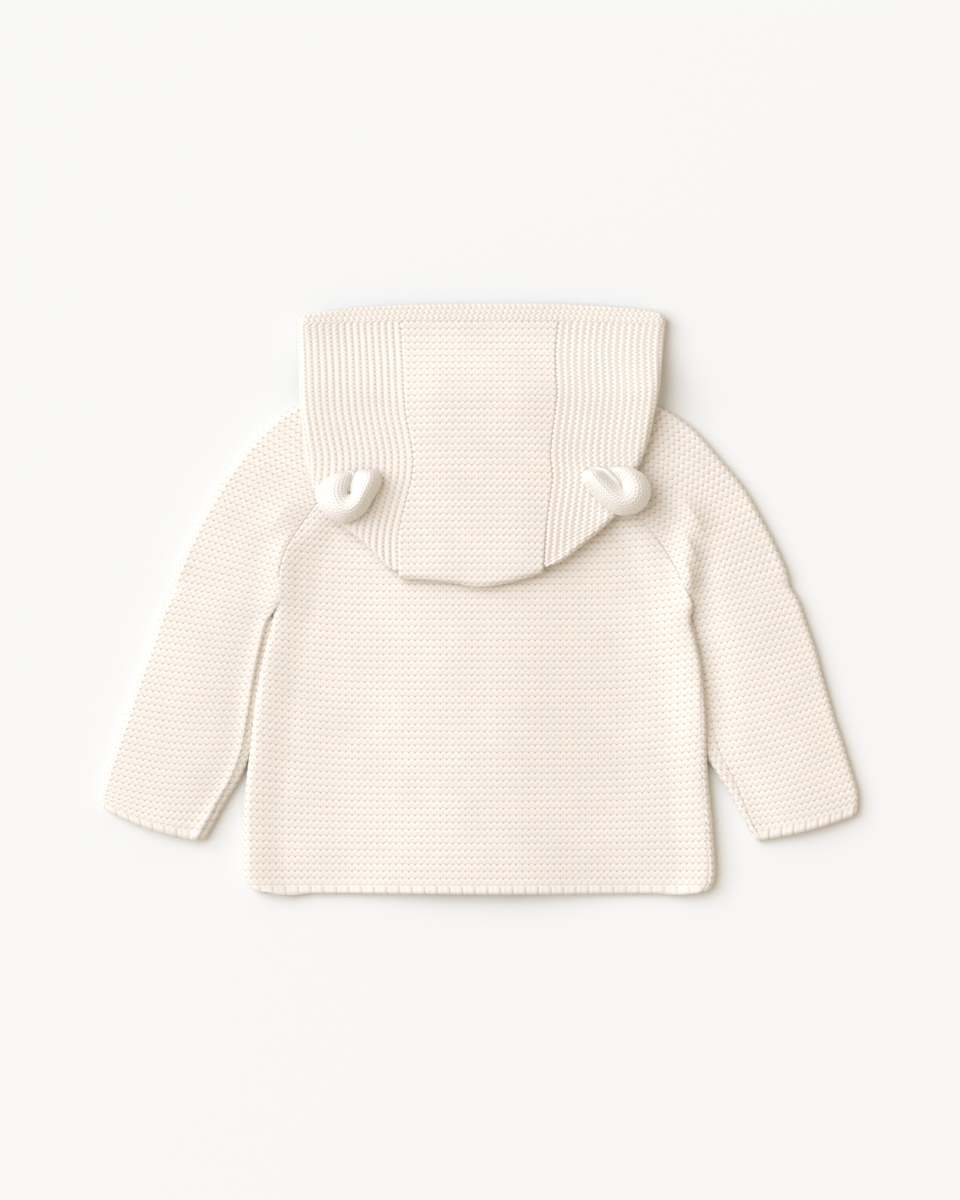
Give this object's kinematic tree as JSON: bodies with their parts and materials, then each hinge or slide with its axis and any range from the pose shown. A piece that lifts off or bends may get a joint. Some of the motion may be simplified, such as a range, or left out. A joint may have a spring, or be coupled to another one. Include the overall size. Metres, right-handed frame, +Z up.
{
  "type": "hooded baby cardigan",
  "caption": "Hooded garter-knit baby cardigan with folded ears on the hood, laid face down with sleeves at its sides.",
  "frame": {"origin": "middle of the garment's box, on the surface it lies on", "axes": "+Z up from the surface to the back of the garment, +Y from the hem to the hood's opening, +X across to the wearer's right sleeve"},
  "size_m": [0.455, 0.3535, 0.0343],
  "materials": {
    "knit_cotton": "matte thick cotton yarn in garter knit, cream",
    "ear_cotton": "matte fine cotton yarn in plain knit, off-white",
    "button_wood": "satin turned wood"
  },
  "bodies": {
    "root": {"back": "knit_cotton", "front_left": "knit_cotton", "front_right": "knit_cotton", "sleeve_left": "knit_cotton", "sleeve_right": "knit_cotton", "hood_centre": "knit_cotton", "hood_side_left": "knit_cotton", "hood_side_right": "knit_cotton", "hood_band": "knit_cotton", "ear_left": "ear_cotton", "ear_right": "ear_cotton", "button_1": "button_wood", "button_2": "button_wood", "button_3": "button_wood", "button_4": "button_wood", "button_5": "button_wood"}
  },
  "joints": []
}
